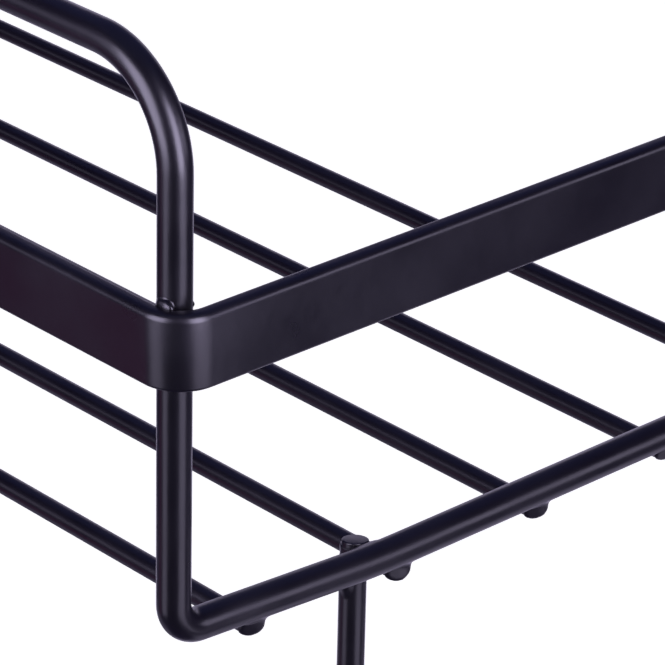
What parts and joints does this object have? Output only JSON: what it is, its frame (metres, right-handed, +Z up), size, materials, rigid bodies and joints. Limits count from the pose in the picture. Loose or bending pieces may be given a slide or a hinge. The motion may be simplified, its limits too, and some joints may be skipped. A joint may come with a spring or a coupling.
{
  "type": "two-tier wire rack",
  "caption": "Free-standing two-tier wire rack: two baskets with flat strip rims, raised top bars and lengthwise floor wires, on four rubber-capped uprights.",
  "frame": {"origin": "centre of the footprint at floor level", "axes": "+X along the rack's length, +Y from front to back, +Z up"},
  "size_m": [0.3148, 0.1962, 0.4591],
  "materials": {
    "satin_black_coat": "satin black powder coat with a faint violet cast and fine orange peel",
    "black_rubber": "matte moulded rubber"
  },
  "bodies": {
    "root": {"lower_front_frame": "satin_black_coat", "lower_back_frame": "satin_black_coat", "lower_rim_strip": "satin_black_coat", "lower_floor_wire_1": "satin_black_coat", "lower_floor_wire_2": "satin_black_coat", "lower_floor_wire_3": "satin_black_coat", "lower_floor_wire_4": "satin_black_coat", "lower_floor_wire_5": "satin_black_coat", "upper_front_frame": "satin_black_coat", "upper_back_frame": "satin_black_coat", "upper_rim_strip": "satin_black_coat", "upper_floor_wire_1": "satin_black_coat", "upper_floor_wire_2": "satin_black_coat", "upper_floor_wire_3": "satin_black_coat", "upper_floor_wire_4": "satin_black_coat", "upper_floor_wire_5": "satin_black_coat", "upright_front_left": "satin_black_coat", "upright_front_right": "satin_black_coat", "upright_back_left": "satin_black_coat", "upright_back_right": "satin_black_coat", "foot_cap_front_left": "black_rubber", "foot_cap_front_right": "black_rubber", "foot_cap_back_left": "black_rubber", "foot_cap_back_right": "black_rubber"}
  },
  "joints": []
}
